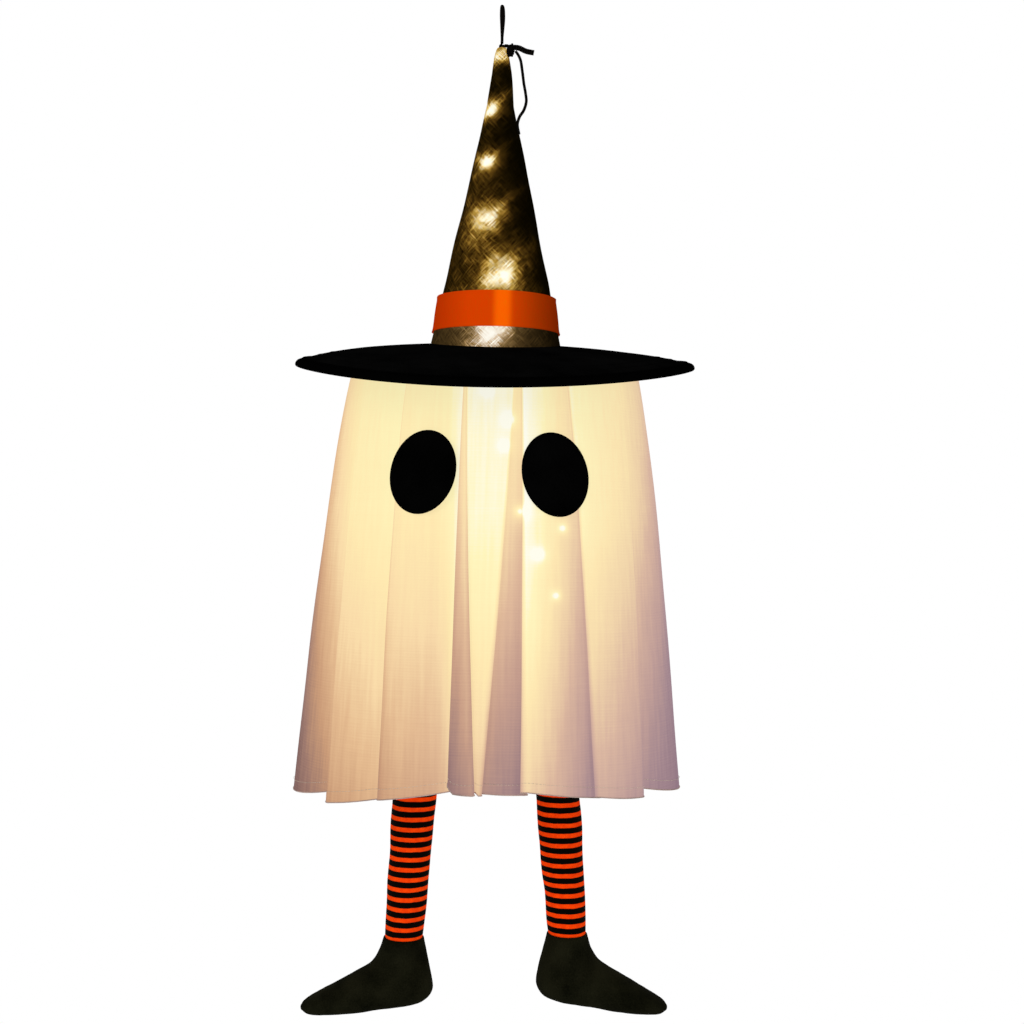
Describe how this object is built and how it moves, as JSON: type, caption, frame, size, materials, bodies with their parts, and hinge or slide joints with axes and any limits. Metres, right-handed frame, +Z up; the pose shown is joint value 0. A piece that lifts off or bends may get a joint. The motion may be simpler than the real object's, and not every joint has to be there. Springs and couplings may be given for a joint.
{
  "type": "hanging ghost string lights",
  "caption": "Cloth ghost under a pointed wide-brimmed hat, lit from inside by a battery string of small lights, with two stuffed striped legs; it hangs by a cord loop.",
  "frame": {"origin": "crest of the hanging loop's cord, where a hook carries the ghost", "axes": "+Z up along the ghost's height, -Y the way its face looks, +X to the right of someone who looks at its face"},
  "size_m": [0.396, 0.396, 1.0057],
  "materials": {
    "cord": "matte",
    "crown_cloth": "satin",
    "band_satin": "satin",
    "black_felt": "matte",
    "brim_tape": "matte",
    "steel_wire": "satin",
    "gown_voile": "matte",
    "case_plastic": "matte",
    "switch_plastic": "satin",
    "cell_jacket": "satin",
    "contact_metal": "satin",
    "cotton_tape": "matte",
    "grommet_rubber": "matte",
    "lead_wire": "satin",
    "light_lens": "gloss",
    "stocking": "matte",
    "foot_cloth": "matte"
  },
  "bodies": {
    "hanger": {"hanging_loop": "cord"},
    "knot": {"tip_knot": "cord"},
    "ghost": {"hat_crown": "crown_cloth", "hat_band": "band_satin", "brim_upper": "black_felt", "brim_lower": "black_felt", "brim_wire": "steel_wire", "brim_binding": "brim_tape", "side_knot": "cord", "loose_strand": "cord", "body_hoop": "steel_wire", "hoop_crossbar": "steel_wire", "hoop_tab_1": "cotton_tape", "hoop_tab_2": "cotton_tape", "hoop_tab_3": "cotton_tape", "hoop_tab_4": "cotton_tape", "hoop_tab_5": "cotton_tape", "hoop_tab_6": "cotton_tape", "body_front": "gown_voile", "body_back": "gown_voile", "left_eye": "black_felt", "right_eye": "black_felt", "battery_case": "case_plastic", "battery_cell_1": "cell_jacket", "battery_cell_2": "cell_jacket", "battery_cell_3": "cell_jacket", "contact_plate_upper": "contact_metal", "contact_plate_lower": "contact_metal", "case_tape": "cotton_tape", "lead_grommet": "grommet_rubber", "crown_lead": "lead_wire", "body_lead": "lead_wire", "light_01": "light_lens", "light_02": "light_lens", "light_03": "light_lens", "light_04": "light_lens", "light_05": "light_lens", "light_06": "light_lens", "light_07": "light_lens", "light_08": "light_lens", "light_09": "light_lens", "light_10": "light_lens", "light_11": "light_lens", "light_12": "light_lens", "light_13": "light_lens"},
    "battery_cover": {"battery_cover": "case_plastic"},
    "switch": {"switch_slider": "switch_plastic"},
    "left_tape": {"left_leg_tape": "cotton_tape"},
    "left_leg": {"left_leg_ring": "steel_wire", "left_leg": "stocking", "left_foot": "foot_cloth"},
    "right_tape": {"right_leg_tape": "cotton_tape"},
    "right_leg": {"right_leg_ring": "steel_wire", "right_leg": "stocking", "right_foot": "foot_cloth"}
  },
  "joints": [
    {"name": "sway_side", "type": "hinge", "parent": "hanger", "child": "knot", "pos_m": [0, 0, -0.041], "axis": [0, 1, 0], "range_deg": [-20, 20]},
    {"name": "sway_fore", "type": "hinge", "parent": "knot", "child": "ghost", "pos_m": [0, 0, -0.041], "axis": [1, 0, 0], "range_deg": [-20, 20]},
    {"name": "left_tape_swing", "type": "hinge", "parent": "ghost", "child": "left_tape", "pos_m": [-0.0695, 0, -0.34993], "axis": [1, 0, 0], "range_deg": [-8, 8]},
    {"name": "left_leg_swing", "type": "hinge", "parent": "left_tape", "child": "left_leg", "pos_m": [-0.0695, 0, -0.73953], "axis": [1, 0, 0], "range_deg": [-25, 25]},
    {"name": "right_tape_swing", "type": "hinge", "parent": "ghost", "child": "right_tape", "pos_m": [0.0675, 0, -0.34993], "axis": [1, 0, 0], "range_deg": [-8, 8]},
    {"name": "right_leg_swing", "type": "hinge", "parent": "right_tape", "child": "right_leg", "pos_m": [0.0675, 0, -0.73233], "axis": [1, 0, 0], "range_deg": [-25, 25]},
    {"name": "cover_slide", "type": "slide", "parent": "ghost", "child": "battery_cover", "axis": [0, 0, -1], "range_m": [0, 0.052]},
    {"name": "switch_slide", "type": "slide", "parent": "ghost", "child": "switch", "axis": [1, 0, 0], "range_m": [0, 0.0034]}
  ]
}
